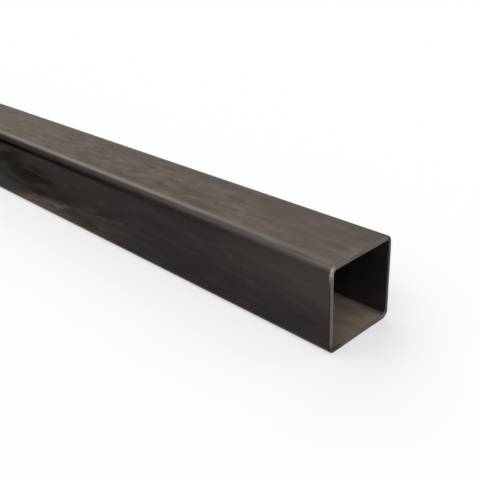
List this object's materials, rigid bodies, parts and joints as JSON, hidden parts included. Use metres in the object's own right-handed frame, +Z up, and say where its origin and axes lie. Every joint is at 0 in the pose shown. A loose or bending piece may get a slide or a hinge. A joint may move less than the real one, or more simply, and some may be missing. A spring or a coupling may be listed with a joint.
{
  "type": "square steel tube",
  "caption": "Cold-formed square hollow section in black mild steel, seam welded and sawn to length, lying on one flat side.",
  "frame": {"origin": "middle of the tube's length and width, at the level of the flat side it lies on", "axes": "+X along the tube towards the open end that the picture shows, +Z up, +Y towards the side whose wall has the weld seam"},
  "size_m": [1, 0.05, 0.05],
  "materials": {
    "black_steel": "mild steel with its dark rolled skin, satin, with fine lengthwise streaks and a light oil film; sawn ends a little paler"
  },
  "bodies": {
    "root": {"square_tube": "black_steel"}
  },
  "joints": []
}
